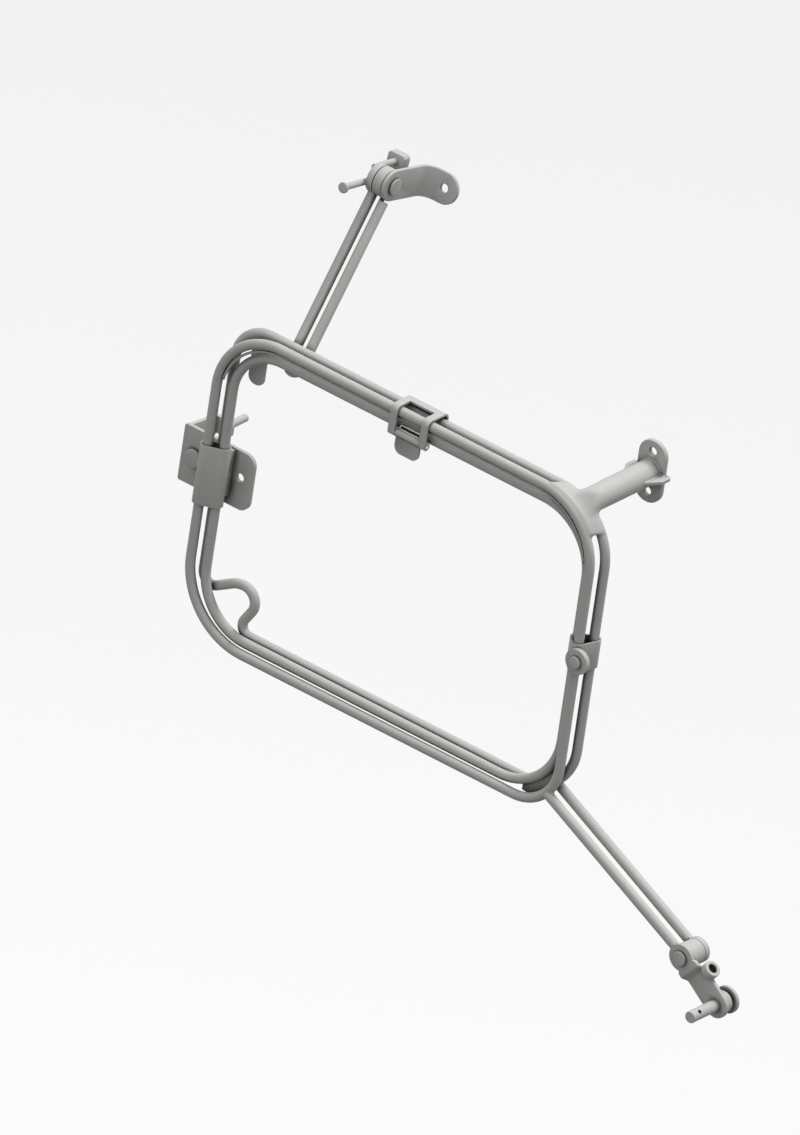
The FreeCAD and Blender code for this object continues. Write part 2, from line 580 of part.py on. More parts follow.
COPE_START = 2.0
eye_set = val("lower_eye_set")
for name, offset, arc, set_back in [("front", -lower_half, front_low_arc, eye_set),
                                    ("rear", lower_half, rear_low_arc, 0)]:
    radius = f"{name}_corner_lower_right"
    shift = V(0, offset, 0)
    bar_from = arm_line + shift + out * (run_to_arc(arc, val(radius)) + COPE_START)
    bar_to = lower_pivot + shift - out * (val("lower_eye_dia") / 2 - EYE_SINK)
    bar = bent_bar(f"lower_{name}_bar", [bar_from, bar_to], [0, 0])
    corner_room = doc.addObject("Part::Torus", f"lower_{name}_cope")
    bind(corner_room, Radius1=f"Sizes.{radius}", Radius2="Sizes.rod_dia / 2 + Sizes.weld_gap")
    corner_room.Placement = FreeCAD.Placement(arc, turned(ALONG_Y))
    arm = cut(f"lower_{name}_coped", bar, corner_room)
    near_face = lower_pivot + shift + V(0, set_back - eye_half, 0)
    far_face = lower_pivot + shift + V(0, set_back + eye_half, 0)
    for cheek, face, way in [("near", near_face, -ALONG_Y), ("far", far_face, ALONG_Y)]:
        flat = cylinder(f"lower_{name}_{cheek}_flat", f"Sizes.lower_eye_dia / 2 + {BAR_ROOM}", "Sizes.rod_dia",
                        face, way)
        arm = cut(f"lower_{name}_{cheek}_flattened", arm, flat)
    eye = cylinder(f"lower_{name}_eye", "Sizes.lower_eye_dia / 2", "Sizes.lower_eye_thick", near_face,
                   ALONG_Y)
    bore = cylinder(f"lower_{name}_bore", "Sizes.rivet_dia / 2 + Sizes.pivot_play", "Sizes.lower_eye_thick",
                    near_face, ALONG_Y)
    arm = fuse(f"lower_{name}_joined", [arm, eye])
    piece(cut(f"lower_{name}_bored", arm, bore), f"lower_arm_{name}")

# Barrel between the eyes, and the lower rivet
spacer_from = lower_pivot + V(0, -lower_half + eye_set + eye_half + touch / 2, 0)
spacer_length = "Sizes.lower_arm_pitch - Sizes.lower_eye_set - Sizes.lower_eye_thick - Sizes.weld_gap"
spacer_outside = cylinder("spacer_outside", "Sizes.barrel_dia / 2", spacer_length, spacer_from, ALONG_Y)
spacer_inside = cylinder("spacer_inside", "Sizes.rivet_dia / 2 + Sizes.pivot_play", spacer_length,
                         spacer_from, ALONG_Y)
piece(cut("spacer", spacer_outside, spacer_inside), "pivot_spacer")
foot_back = -lower_half + eye_set - eye_half - touch
foot_face = foot_back - val("foot_thick")
rivet_front = lower_pivot + V(0, foot_face - touch, 0)
lower_shank = cylinder("lower_rivet_shank", "Sizes.rivet_dia / 2",
                       "Sizes.foot_thick + Sizes.lower_arm_pitch - Sizes.lower_eye_set "
                       "+ Sizes.lower_eye_thick + 3 * Sizes.weld_gap", rivet_front, ALONG_Y)
lower_head = cylinder("lower_rivet_head", "Sizes.lower_head_dia / 2", "Sizes.rivet_head_thick", rivet_front,
                      -ALONG_Y)
tail_at = lower_pivot + V(0, lower_half + eye_half + touch, 0)
lower_tail = cylinder("lower_rivet_tail", "Sizes.lower_head_dia / 2", "Sizes.rivet_head_thick", tail_at,
                      ALONG_Y)
piece(fuse("lower_rivet_joined", [lower_shank, lower_head, lower_tail]), "lower_rivet")

# Foot plate: an upper lobe on the pivot and a stepped lower leg, drawn along its own length
foot_turn = FreeCAD.Rotation(ALONG_Y, val("foot_slope"))
foot_place = FreeCAD.Placement(lower_pivot, foot_turn)
lobe_half = val("lower_eye_dia") / 2 + val("foot_rim")
leg_half = val("foot_width") / 2
jog = val("foot_jog")
jog_from = val("foot_jog_at")
jog_to = jog_from + val("foot_jog_run")
leg_end = val("foot_reach") + leg_half
profile_points = [
    V(-lobe_half, foot_face, -lobe_half),
    V(jog_from, foot_face, -lobe_half),
    V(jog_to, foot_face + jog, -lobe_half),
    V(leg_end, foot_face + jog, -lobe_half),
    V(leg_end, foot_back + jog, -lobe_half),
    V(jog_to, foot_back + jog, -lobe_half),
    V(jog_from, foot_back, -lobe_half),
    V(-lobe_half, foot_back, -lobe_half),
]
JOG_ROUND = 3.0
CUT_ROOM = 2.0
foot_strip = plate("foot_strip", profile_points, [0, JOG_ROUND, JOG_ROUND, 0] * 2, ALONG_Z,
                   "Sizes.lower_eye_dia + 2 * Sizes.foot_rim")
through = f"Sizes.foot_thick + Sizes.foot_jog + {2 * CUT_ROOM}"
front_of_all = foot_face - CUT_ROOM
lobe = cylinder("foot_lobe", "Sizes.lower_eye_dia / 2 + Sizes.foot_rim", through, V(0, front_of_all, 0),
                ALONG_Y)
shoulder = val("foot_shoulder")
leg = plate("foot_leg", [
    V(val("foot_neck"), front_of_all, -leg_half),
    V(val("foot_reach"), front_of_all, -leg_half),
    V(val("foot_reach"), front_of_all, leg_half),
    V(val("foot_neck"), front_of_all, leg_half),
], [shoulder, 0, 0, shoulder], ALONG_Y, through)
leg_round = cylinder("foot_leg_round", "Sizes.foot_width / 2", through,
                     V(val("foot_reach"), front_of_all, 0), ALONG_Y)
foot = common("foot_shaped", foot_strip, fuse("foot_outline", [lobe, leg, leg_round]))
foot_bore = cylinder("foot_bore", "Sizes.rivet_dia / 2 + Sizes.pivot_play", through, V(0, front_of_all, 0),
                     ALONG_Y)
pin_bore = cylinder("foot_pin_bore", "Sizes.foot_pin_seat / 2 + Sizes.pivot_play", through,
                    V(val("foot_reach"), front_of_all, 0), ALONG_Y)
foot = cut("foot_pinned", cut("foot_bored", foot, foot_bore), pin_bore)
foot.Placement = foot_place
piece(foot, "foot_plate")

# Foot pin with its cross hole and the spool behind the plate, turned from one bar
leg_face = foot_face + jog
leg_back = foot_back + jog
pin_tip = leg_face - val("foot_pin_reach")
hub_at = leg_back + touch / 2
turned_points = [
    V(0, pin_tip, 0),
    V(val("foot_pin_dia") / 2, pin_tip, 0),
    V(val("foot_pin_dia") / 2, leg_face - touch, 0),
    V(val("foot_pin_seat") / 2, leg_face - touch, 0),
    V(val("foot_pin_seat") / 2, hub_at, 0),
    V(val("hub_dia") / 2, hub_at, 0),
    V(val("hub_dia") / 2, hub_at + val("hub_length"), 0),
    V(val("groove_dia") / 2, hub_at + val("hub_length"), 0),
    V(val("groove_dia") / 2, hub_at + val("hub_length") + val("groove_length"), 0),
    V(val("collar_dia") / 2, hub_at + val("hub_length") + val("groove_length"), 0),
    V(val("collar_dia") / 2, hub_at + val("hub_length") + val("groove_length") + val("collar_length"), 0),
    V(0, hub_at + val("hub_length") + val("groove_length") + val("collar_length"), 0),
]
half_section = doc.addObject("Part::Feature", "foot_pin_half")
PIN_SOFT = 1.0
pin_rounds = [0, PIN_SOFT, 0, 0, 0, PIN_SOFT, PIN_SOFT, 0, 0, PIN_SOFT, PIN_SOFT, 0]
half_section.Shape = Part.Face(rounded_wire(turned_points, pin_rounds, True))
foot_pin = doc.addObject("Part::Revolution", "foot_pin_turned")
foot_pin.Source = half_section
foot_pin.Axis = ALONG_Y
foot_pin.Base = V(0, 0, 0)
foot_pin.Angle = 360
foot_pin.Solid = True
hole_from = V(0, pin_tip + val("foot_pin_hole_at"), -val("foot_pin_dia"))
cross_hole = cylinder("foot_pin_cross_hole", "Sizes.foot_pin_hole / 2", "2 * Sizes.foot_pin_dia", hole_from,
                      ALONG_Z)
foot_pin = cut("foot_pin_drilled", foot_pin, cross_hole)
pin_seat = lower_pivot + foot_turn.multVec(V(val("foot_reach"), 0, 0))
foot_pin.Placement = FreeCAD.Placement(pin_seat, foot_turn)
piece(foot_pin, "foot_pin")

# Boss on the upper edge of the foot plate's leg
boss_foot = V(val("boss_at"), (leg_face + leg_back) / 2, leg_half + touch / 2)
boss_outside = cylinder("boss_outside", "Sizes.boss_dia / 2", "Sizes.boss_length", boss_foot, ALONG_Z)
boss_inside = cylinder("boss_inside", "Sizes.boss_bore / 2", "Sizes.boss_length",
                       boss_foot + V(0, 0, val("boss_floor")), ALONG_Z)
boss = cut("boss_bored", boss_outside, boss_inside)
boss.Placement = foot_place
piece(boss, "foot_boss")


# Latch over the top bars: folded bracket with a window, rolled hinge, pin and flap
sheet_t = val("latch_sheet")
latch_left = val("latch_x") - val("latch_width") / 2
latch_front = -rod_r - touch - sheet_t
latch_top = front_top + rod_r + touch + sheet_t
latch_rear = rear_back + sheet_t
hinge_z = front_top - val("hinge_drop")
knuckle_r = val("knuckle_dia") / 2
hinge_y = latch_front + knuckle_r
latch_points = [
    at(latch_left, latch_front, hinge_z),
    at(latch_left, latch_front, latch_top),
    at(latch_left, latch_rear, latch_top),
    at(latch_left, latch_rear, latch_top - val("latch_back_drop")),
    at(latch_left, latch_rear - sheet_t, latch_top - val("latch_back_drop")),
    at(latch_left, latch_rear - sheet_t, latch_top - sheet_t),
    at(latch_left, latch_front + sheet_t, latch_top - sheet_t),
    at(latch_left, latch_front + sheet_t, hinge_z),
]
outer_bend = val("latch_bend")
inner_bend = outer_bend - sheet_t
folded = plate("latch_folded", latch_points, [0, outer_bend, outer_bend, 0, 0, inner_bend, inner_bend, 0],
               ALONG_X, "Sizes.latch_width")
window_left = latch_left + val("latch_leg")
WINDOW_ROOM = 5.0
window = box("latch_window", "Sizes.latch_width - 2 * Sizes.latch_leg",
             f"Sizes.latch_window_back - {latch_front} + {WINDOW_ROOM}",
             f"Sizes.hinge_drop + Sizes.rod_dia + Sizes.knuckle_dia + {2 * WINDOW_ROOM}",
             at(window_left, latch_front - WINDOW_ROOM, hinge_z - knuckle_r - WINDOW_ROOM))
knuckles = []
for n, start in enumerate([latch_left, latch_left + val("latch_width") - val("latch_leg")]):
    knuckles.append(cylinder(f"latch_knuckle_{n}", "Sizes.knuckle_dia / 2", "Sizes.latch_leg",
                             at(start, hinge_y, hinge_z), ALONG_X))
latch = fuse("latch_joined", [cut("latch_open", folded, window)] + knuckles)
latch_bore = cylinder("latch_bore", "Sizes.latch_pin_dia / 2 + Sizes.pivot_play", "Sizes.latch_width",
                      at(latch_left, hinge_y, hinge_z), ALONG_X)
piece(cut("latch_bored", latch, latch_bore), "latch_bracket")
piece(cylinder("latch_pin_bar", "Sizes.latch_pin_dia / 2", "Sizes.latch_width",
               at(latch_left, hinge_y, hinge_z), ALONG_X), "latch_pin")
flap_left = window_left + val("knuckle_gap")
flap_right = window_left + val("latch_width") - 2 * val("latch_leg") - val("knuckle_gap")
flap_low = hinge_z - val("flap_length")
flap_points = [
    at(flap_left, latch_front, hinge_z),
    at(flap_right, latch_front, hinge_z),
    at(flap_right, latch_front, flap_low),
    at(flap_left, latch_front, flap_low),
]
flap_corner = val("flap_corner")
flap_sheet = plate("flap_sheet", flap_points, [0, 0, flap_corner, flap_corner], ALONG_Y,
                   "Sizes.latch_sheet")
flap_roll = cylinder("flap_roll", "Sizes.knuckle_dia / 2",
                     "Sizes.latch_width - 2 * Sizes.latch_leg - 2 * Sizes.knuckle_gap",
                     at(flap_left, hinge_y, hinge_z), ALONG_X)
flap_bore = cylinder("flap_bore", "Sizes.latch_pin_dia / 2 + Sizes.pivot_play", "Sizes.latch_width",
                     at(latch_left, hinge_y, hinge_z), ALONG_X)
piece(cut("flap_bored", fuse("flap_joined", [flap_sheet, flap_roll]), flap_bore), "latch_flap")


# Clamp on the left side: sleeve on the front and inner bars, folded bracket, bolt, nut and locating pin
def band(name, centres, length):
    """A sheet sleeve stretched round upright bars, which are given anticlockwise from above."""
    count = len(centres)
    sections = []
    for reach in (rod_r + touch, rod_r + touch + val("sleeve_wall")):
        edges = []
        for i, here in enumerate(centres):
            follow = centres[(i + 1) % count]
            come = (here - centres[i - 1]).normalize()
            go = (follow - here).normalize()
            arrive = here + V(come.y, -come.x, 0) * reach
            leave = here + V(go.y, -go.x, 0) * reach
            crown = here + (come - go).normalize() * reach
            edges.append(Part.Arc(arrive, crown, leave).toShape())
            edges.append(Part.LineSegment(leave, follow + V(go.y, -go.x, 0) * reach).toShape())
        sections.append(Part.Face(Part.Wire(edges)))
    ring = doc.addObject("Part::Feature", name + "_section")
    ring.Shape = sections[1].cut(sections[0])
    sleeve = doc.addObject("Part::Extrusion", name)
    sleeve.Base = ring
    sleeve.DirMode = "Custom"
    sleeve.Dir = ALONG_Z
    sleeve.Solid = True
    bind(sleeve, LengthFwd=length)
    return sleeve


sleeve_low = -val("sleeve_length") / 2
sleeve = band("clamp_band", [at(-front_right, 0, sleeve_low), at(inner_left, inner_y, sleeve_low)],
              "Sizes.sleeve_length")
plate_y = rear_back
RIB_WIDTH = 7.0
RIB_INSET = 7.0
rib_left = rear_left + rod_r + touch
rib_front = inner_y + rod_r + touch + val("sleeve_wall") / 2
rib = box("clamp_rib", f"{RIB_WIDTH}", f"{plate_y - rib_front}", f"Sizes.sleeve_length - {2 * RIB_INSET}",
          at(rib_left + touch, rib_front, sleeve_low + RIB_INSET))
piece(fuse("clamp_sleeve_joined", [sleeve, rib]), "clamp_sleeve")

plate_t = val("plate_thick")
plate_left = -front_right - val("plate_out")
plate_right = -front_right + val("plate_in")
plate_low = val("plate_low")
plate_high = val("plate_high")
corner = val("plate_corner")
EDGE_SOFT = 2.0
WALL_FOOT = 0.35
TAB_SOFT = 6.0
front_sheet = plate("bracket_front", [
    at(plate_left, plate_y, plate_low),
    at(plate_right, plate_y, plate_low),
    at(plate_right, plate_y, plate_high),
    at(plate_left, plate_y, plate_high),
], [EDGE_SOFT, corner, corner, EDGE_SOFT], ALONG_Y, "Sizes.plate_thick")
wall_end = plate_y + val("wall_depth")
tail_low = val("tab_high") - val("wall_tail")
side_sheet = plate("bracket_wall", [
    at(plate_left, plate_y, plate_low + EDGE_SOFT),
    at(plate_left, plate_y, plate_high - EDGE_SOFT),
    at(plate_left, wall_end, val("tab_high")),
    at(plate_left, wall_end, tail_low),
    at(plate_left, plate_y + val("wall_depth") * WALL_FOOT, plate_low + EDGE_SOFT),
], [0, 0, 0, 0, TAB_SOFT], ALONG_X, "Sizes.plate_thick")
tab_sheet = plate("bracket_tab", [
    at(plate_left, wall_end - plate_t, tail_low),
    at(plate_left + val("tab_width"), wall_end - plate_t, tail_low),
    at(plate_left + val("tab_width"), wall_end - plate_t, val("tab_high")),
    at(plate_left, wall_end - plate_t, val("tab_high")),
], [0, TAB_SOFT, TAB_SOFT, 0], ALONG_Y, "Sizes.plate_thick")
bracket = fuse("bracket_folded", [front_sheet, side_sheet, tab_sheet])
open_hole = cylinder("bracket_hole", "Sizes.plate_hole_dia / 2", "Sizes.plate_thick",
                     at(-front_right + val("plate_hole_in"), plate_y, val("plate_hole_z")), ALONG_Y)
bolt_x = -front_right - val("bolt_out")
bolt_hole = cylinder("bracket_bolt_hole", "Sizes.bolt_dia / 2 + Sizes.pivot_play", "Sizes.plate_thick",
                     at(bolt_x, plate_y, val("bolt_z")), ALONG_Y)
piece(cut("bracket_drilled", cut("bracket_open", bracket, open_hole), bolt_hole), "clamp_bracket")

bolt_at = at(bolt_x, plate_y - touch / 2, val("bolt_z"))
bolt_head = cylinder("bolt_head", "Sizes.bolt_head_dia / 2", "Sizes.bolt_head_thick", bolt_at, -ALONG_Y)
BOLT_SHOW = 3.0
bolt_shank = cylinder("bolt_shank", "Sizes.bolt_dia / 2",
                      f"Sizes.plate_thick + Sizes.nut_thick + {BOLT_SHOW}", bolt_at, ALONG_Y)
piece(fuse("bolt_joined", [bolt_head, bolt_shank]), "clamp_bolt")
nut = doc.addObject("Part::Prism", "nut_blank")
nut.Polygon = 6
bind(nut, Circumradius="Sizes.nut_flats / sqrt(3)", Height="Sizes.nut_thick")
nut_at = at(bolt_x, plate_y + plate_t + touch / 2, val("bolt_z"))
nut.Placement = FreeCAD.Placement(nut_at, turned(ALONG_Y))
nut_bore = cylinder("nut_bore", "Sizes.bolt_dia / 2 + Sizes.pivot_play", "Sizes.nut_thick", nut_at, ALONG_Y)
piece(cut("nut_bored", nut, nut_bore), "clamp_nut")
locator_x = plate_left + val("tab_width") - val("wall_tail") / 2
locator_z = val("tab_high") - val("wall_tail") / 2
locator = cylinder("locator_bar", "Sizes.locator_dia / 2", "Sizes.locator_length",
                   at(locator_x, wall_end + touch / 2, locator_z), ALONG_Y)
locator_soft = doc.addObject("Part::Fillet", "locator_soft")
locator_soft.Base = locator
doc.recompute()
LOCATOR_ROUND = 2.5
far_end = at(locator_x, wall_end + touch / 2 + val("locator_length"), locator_z).y
locator_soft.Edges = [(n + 1, LOCATOR_ROUND, LOCATOR_ROUND) for n, edge in enumerate(locator.Shape.Edges)
                      if abs(edge.BoundBox.YMin - far_end) < 1e-6]
piece(locator_soft, "locating_pin")

# Side clamp on the right: a band round the three bars with a round boss and screw
clamp_low = val("side_clamp_z") - val("side_clamp_length") / 2
side_band = band("side_band", [
    at(front_right, 0, clamp_low),
    at(rear_right, rear_y, clamp_low),
    at(inner_right, inner_y, clamp_low),
], "Sizes.side_clamp_length")
boss_x = front_right + val("side_boss_shift")
boss_back = -rod_r - touch - val("sleeve_wall") / 2
side_boss = cylinder("side_boss", "Sizes.side_boss_dia / 2", "Sizes.side_boss_thick",
                     at(boss_x, boss_back, val("side_clamp_z")), -ALONG_Y)
side_clamp = fuse("side_clamp_joined", [side_band, side_boss])
SCREW_FLOOR = 1.0
screw_face = at(boss_x, boss_back - val("side_boss_thick"), val("side_clamp_z"))
screw_hole = cylinder("side_screw_hole", "Sizes.side_screw_dia / 2 + Sizes.pivot_play",
                      f"Sizes.side_boss_thick - {SCREW_FLOOR}", screw_face, ALONG_Y)
piece(cut("side_clamp_drilled", side_clamp, screw_hole), "side_clamp")
screw_shank = cylinder("side_screw_shank", "Sizes.side_screw_dia / 2",
                       f"Sizes.side_boss_thick - {SCREW_FLOOR} - Sizes.weld_gap", screw_face, ALONG_Y)
screw_head = cylinder("side_screw_head_disc", "Sizes.side_screw_head / 2", "Sizes.side_screw_thick",
                      screw_face, -ALONG_Y)
piece(fuse("side_screw_joined", [screw_shank, screw_head]), "side_screw")


# Gussets behind the rear loop: a hanging tab at the upper left, a web in the lower right corner
TAB_ROUND = 0.9
tab_half = val("corner_tab_width") / 2
tab_x = rear_left + val("corner_tab_in")
tab_high = rear_top - val("corner_tab_under")
tab_low = tab_high - val("corner_tab_length")
corner_tab = plate("corner_tab_sheet", [
    at(tab_x - tab_half, rear_back, tab_low),
    at(tab_x + tab_half, rear_back, tab_low),
    at(tab_x + tab_half, rear_back, tab_high),
    at(tab_x - tab_half, rear_back, tab_high),
], [tab_half * TAB_ROUND, tab_half * TAB_ROUND, EDGE_SOFT, EDGE_SOFT], ALONG_Y, "Sizes.gusset_thick")
piece(corner_tab, "corner_tab")
low_arc = rear_low_arc + V(0, rear_back - rear_y, 0)
web_disc = cylinder("web_disc", "Sizes.rear_corner_lower_right", "Sizes.gusset_thick", low_arc, ALONG_Y)
web_turn = FreeCAD.Rotation(ALONG_Y, 45)
web_corner = low_arc + web_turn.multVec(V(val("web_chord"), 0, -rear_low_corner))
web_keep = box("web_keep", "Sizes.rear_corner_lower_right", "Sizes.gusset_thick",
               "2 * Sizes.rear_corner_lower_right", web_corner, web_turn)
piece(common("web", web_disc, web_keep), "corner_web")

# Check every object, then write one file for each piece
doc.recompute()
for obj in doc.Objects:
    if "Invalid" in obj.State or "Error" in obj.State:
        raise RuntimeError(f"{obj.Name} failed: {obj.State}")
os.makedirs("parts", exist_ok=True)
for obj in PIECES:
    shape = obj.Shape
    if shape.isNull() or not shape.isValid() or not shape.Solids:
        raise RuntimeError(f"{obj.Label} has no valid solid")
    shape.exportStep(f"parts/{obj.Label}.step")
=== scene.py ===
# %% [markdown]
# # A motorbike case mount bracket
# The bracket is a side rack: three loops of bent round bar, one behind another, with arms, clamps and a latch
# welded to them. The solids come from the CAD frame at their real size. This lesson gives them paint, soft
# edges and welds, and then sets up the studio. Loading the frame comes first, because every later step takes
# its places from it.

# %% Load the frame
import bmesh
import bpy
import json
import math
from bmesh.types import BMEdge, BMVert
from mathutils import Matrix, Vector


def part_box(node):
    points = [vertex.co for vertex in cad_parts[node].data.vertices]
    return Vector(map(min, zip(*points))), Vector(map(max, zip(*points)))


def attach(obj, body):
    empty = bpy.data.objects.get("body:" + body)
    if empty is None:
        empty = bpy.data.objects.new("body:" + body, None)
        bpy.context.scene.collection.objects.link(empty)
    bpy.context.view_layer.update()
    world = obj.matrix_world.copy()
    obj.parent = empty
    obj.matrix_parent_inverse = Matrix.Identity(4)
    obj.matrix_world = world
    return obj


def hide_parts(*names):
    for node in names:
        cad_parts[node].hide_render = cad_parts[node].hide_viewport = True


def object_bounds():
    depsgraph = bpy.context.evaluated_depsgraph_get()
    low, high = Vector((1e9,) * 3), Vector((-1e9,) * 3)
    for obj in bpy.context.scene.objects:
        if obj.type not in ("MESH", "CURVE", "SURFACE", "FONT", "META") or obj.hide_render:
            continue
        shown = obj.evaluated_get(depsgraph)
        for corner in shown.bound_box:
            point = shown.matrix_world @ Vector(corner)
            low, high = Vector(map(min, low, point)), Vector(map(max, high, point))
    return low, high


MM = 0.001
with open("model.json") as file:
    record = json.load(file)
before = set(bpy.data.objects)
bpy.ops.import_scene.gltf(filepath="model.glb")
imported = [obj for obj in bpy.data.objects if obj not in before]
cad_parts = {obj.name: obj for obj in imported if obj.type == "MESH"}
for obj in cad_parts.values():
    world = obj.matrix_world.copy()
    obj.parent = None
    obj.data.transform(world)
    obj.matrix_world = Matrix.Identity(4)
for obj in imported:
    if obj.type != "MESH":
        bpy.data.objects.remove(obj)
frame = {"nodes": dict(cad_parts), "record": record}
cad_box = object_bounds()


def mm(x, y, z):
    return Vector((x, y, z)) * MM


print("frame", len(frame["nodes"]), "nodes", [tuple(round(c, 3) for c in corner) for corner in cad_box])


# %% [markdown]
# ## Small helpers for materials
# Colours are easiest to choose as the hex values of a picture editor, but shaders work in linear light, so one
# function turns one into the other. A second function adds a shader node with its settings and its links, which
# keeps each material a short list. A third starts an empty material, and a fourth turns the size of a feature
# into the scale of a noise.

# %% Helpers for materials
def linear(hex_colour):
    channels = [int(hex_colour[i:i + 2], 16) / 255 for i in (1, 3, 5)]
    return tuple(c / 12.92 if c <= 0.04045 else ((c + 0.055) / 1.055) ** 2.4 for c in channels) + (1.0,)


def add_node(tree, kind, settings=None, links=None):
    node = tree.nodes.new(kind)
    for name, value in (settings or {}).items():
        if name in node.inputs:
            node.inputs[name].default_value = value
        else:
            setattr(node, name, value)
    for name, source in (links or {}).items():
        tree.links.new(source, node.inputs[name])
    return node


def new_material(name):
    material = bpy.data.materials.new(name)
    material.use_nodes = True
    material.node_tree.nodes.clear()
    return material


def per_metre(size_mm):
    """A noise scale whose features are about this many millimetres across."""
    return 1 / (size_mm * MM)


print("mid grey", [round(c, 3) for c in linear("#808080")])


# %% [markdown]
# ## Grey satin paint on bead-blasted steel
# The paint is one even coat of grey satin over blasted steel. The eye sees a soft sheen, a faint cloudiness where
# the coat is thicker, and a very fine grain left by the blasting. The clouds are a broad noise on the colour and
# the roughness. The grain is a bump: real blast grain is about 0.1 mm, too fine for this picture, so it is drawn
# at 0.6 mm. The slits between bars and under plates are in shade, and that shade is painted into the colour: an
# ambient occlusion node darkens the paint towards near black wherever other metal is within a bar's thickness or
# so.

# %% Grey satin paint
def grey_satin_paint(name, pale, dark, crevice_shade, roughness):
    CLOUD_MM = 38.0
    GRAIN_MM = 0.6
    GRAIN_HEIGHT_MM = 0.02
    CREVICE_MM = 11.0
    FULL_SHADE_AO, NO_SHADE_AO = 0.36, 0.86
    SHEEN_SPREAD = 0.05
    material = new_material(name)
    tree = material.node_tree
    place = add_node(tree, "ShaderNodeTexCoord").outputs["Object"]
    clouds = add_node(tree, "ShaderNodeTexNoise",
                      {"Scale": per_metre(CLOUD_MM), "Detail": 3.0, "Roughness": 0.55}, {"Vector": place})
    tint = add_node(tree, "ShaderNodeMix", {"data_type": "RGBA", "A": linear(dark), "B": linear(pale)},
                    {"Factor": clouds.outputs["Fac"]})
    # Painted shade: where other metal is near, the colour is mixed towards the near-black crevice shade colour.
    closed_in = add_node(tree, "ShaderNodeAmbientOcclusion", {"samples": 8, "Distance": CREVICE_MM * MM})
    unshaded = add_node(tree, "ShaderNodeMapRange", {"From Min": FULL_SHADE_AO, "From Max": NO_SHADE_AO},
                     {"Value": closed_in.outputs["AO"]})
    shaded_colour = add_node(tree, "ShaderNodeMix", {"data_type": "RGBA", "A": linear(crevice_shade)},
                     {"Factor": unshaded.outputs["Result"], "B": tint.outputs["Result"]})
    sheen = add_node(tree, "ShaderNodeMapRange",
                     {"To Min": roughness - SHEEN_SPREAD, "To Max": roughness + SHEEN_SPREAD},
                     {"Value": clouds.outputs["Fac"]})
    grain = add_node(tree, "ShaderNodeTexNoise", {"Scale": per_metre(GRAIN_MM), "Detail": 2.0},
                     {"Vector": place})
    bump = add_node(tree, "ShaderNodeBump", {"Strength": 0.35, "Distance": GRAIN_HEIGHT_MM * MM},
                    {"Height": grain.outputs["Fac"]})
    shader = add_node(tree, "ShaderNodeBsdfPrincipled", {"IOR": 1.5, "Specular IOR Level": 0.22},
                      {"Base Color": shaded_colour.outputs["Result"], "Roughness": sheen.outputs["Result"],
                       "Normal": bump.outputs["Normal"]})
    add_node(tree, "ShaderNodeOutputMaterial", None, {"Surface": shader.outputs["BSDF"]})
    return material


# The third colour is the painted shade in creases and under plates.
paint = grey_satin_paint("grey_satin_paint", "#B4B4B3", "#A9A9A8", "#343433", 0.56)
print("made", paint.name)


# %% [markdown]
# ## Bright drawn steel
# The latch's hinge pin and spring are plain drawn wire, left bright. Drawing leaves fine scratches along the wire,
# so a noise that is stretched along X varies the roughness, and the metal reflects the pale studio.

# %% Bright drawn steel
def bright_drawn_steel():
    SCRATCH_MM = 0.5
    STRETCH = 0.06
    material = new_material("bright_drawn_steel")
    tree = material.node_tree
    place = add_node(tree, "ShaderNodeTexCoord").outputs["Object"]
    drawn = add_node(tree, "ShaderNodeMapping", {"Scale": (STRETCH, 1.0, 1.0)}, {"Vector": place})
    scratch = add_node(tree, "ShaderNodeTexNoise", {"Scale": per_metre(SCRATCH_MM), "Detail": 2.0},
                       {"Vector": drawn.outputs["Vector"]})
    shine = add_node(tree, "ShaderNodeMapRange", {"To Min": 0.12, "To Max": 0.28},
                     {"Value": scratch.outputs["Fac"]})
    shader = add_node(tree, "ShaderNodeBsdfPrincipled", {"Base Color": linear("#E2E2E0"), "Metallic": 1.0},
                      {"Roughness": shine.outputs["Result"]})
    add_node(tree, "ShaderNodeOutputMaterial", None, {"Surface": shader.outputs["BSDF"]})
    return material


steel = bright_drawn_steel()
print("made", steel.name)


# %% [markdown]
# ## Painting the bars
# Every CAD node takes its finish from the record. The loops' bars are right as they come from the CAD, so this is
# all that they need.

# %% Paint every CAD node
finish_of = {"grey_paint": paint, "bright_pin": steel}
for entry in frame["record"]["subparts"]:
    node = frame["nodes"][entry["node"]]
    node.data.materials.clear()
    node.data.materials.append(finish_of[entry["material_slot"]])
print("painted", len(frame["nodes"]), "nodes")


# %% [markdown]
# ## Soft edges on the plates and fittings
# Sheared plate and turned pins have knife-sharp edges in CAD, but paint and a tumbling barrel round the real ones
# by half a millimetre or so, and that round catches the light. Each such piece is copied, its triangles are merged
# into whole faces, and a Bevel modifier rounds every edge that is sharper than 40 degrees. The copy stands for the
# node.

# %% Soften the edges
EDGE_ANGLE = math.radians(40)
EDGE_STEPS = 3
SAME_PLANE = math.radians(0.5)
MERGE_MM = 0.005
body_of = {node: body for body, nodes in frame["record"]["behaviour"]["bodies"].items() for node in nodes}
slot_of = {entry["node"]: entry["material_slot"] for entry in frame["record"]["subparts"]}


def only(items, kind):
    return [item for item in items if isinstance(item, kind)]


def merged(node):
    """A copy of a node's mesh with its loose triangles joined."""
    shape = bmesh.new()
    shape.from_mesh(frame["nodes"][node].data)
    bmesh.ops.remove_doubles(shape, verts=shape.verts, dist=MERGE_MM * MM)
    return shape


def sliced(shape, point, outward, keep_inside):
    """Cuts a shape by a plane, or cuts off and closes it there, and returns the points on the cut."""
    everything = shape.verts[:] + shape.edges[:] + shape.faces[:]
    cut = bmesh.ops.bisect_plane(shape, geom=everything, plane_co=point, plane_no=outward,
                                 clear_outer=keep_inside)["geom_cut"]
    if keep_inside:
        bmesh.ops.holes_fill(shape, edges=only(cut, BMEdge))
    return only(cut, BMVert)


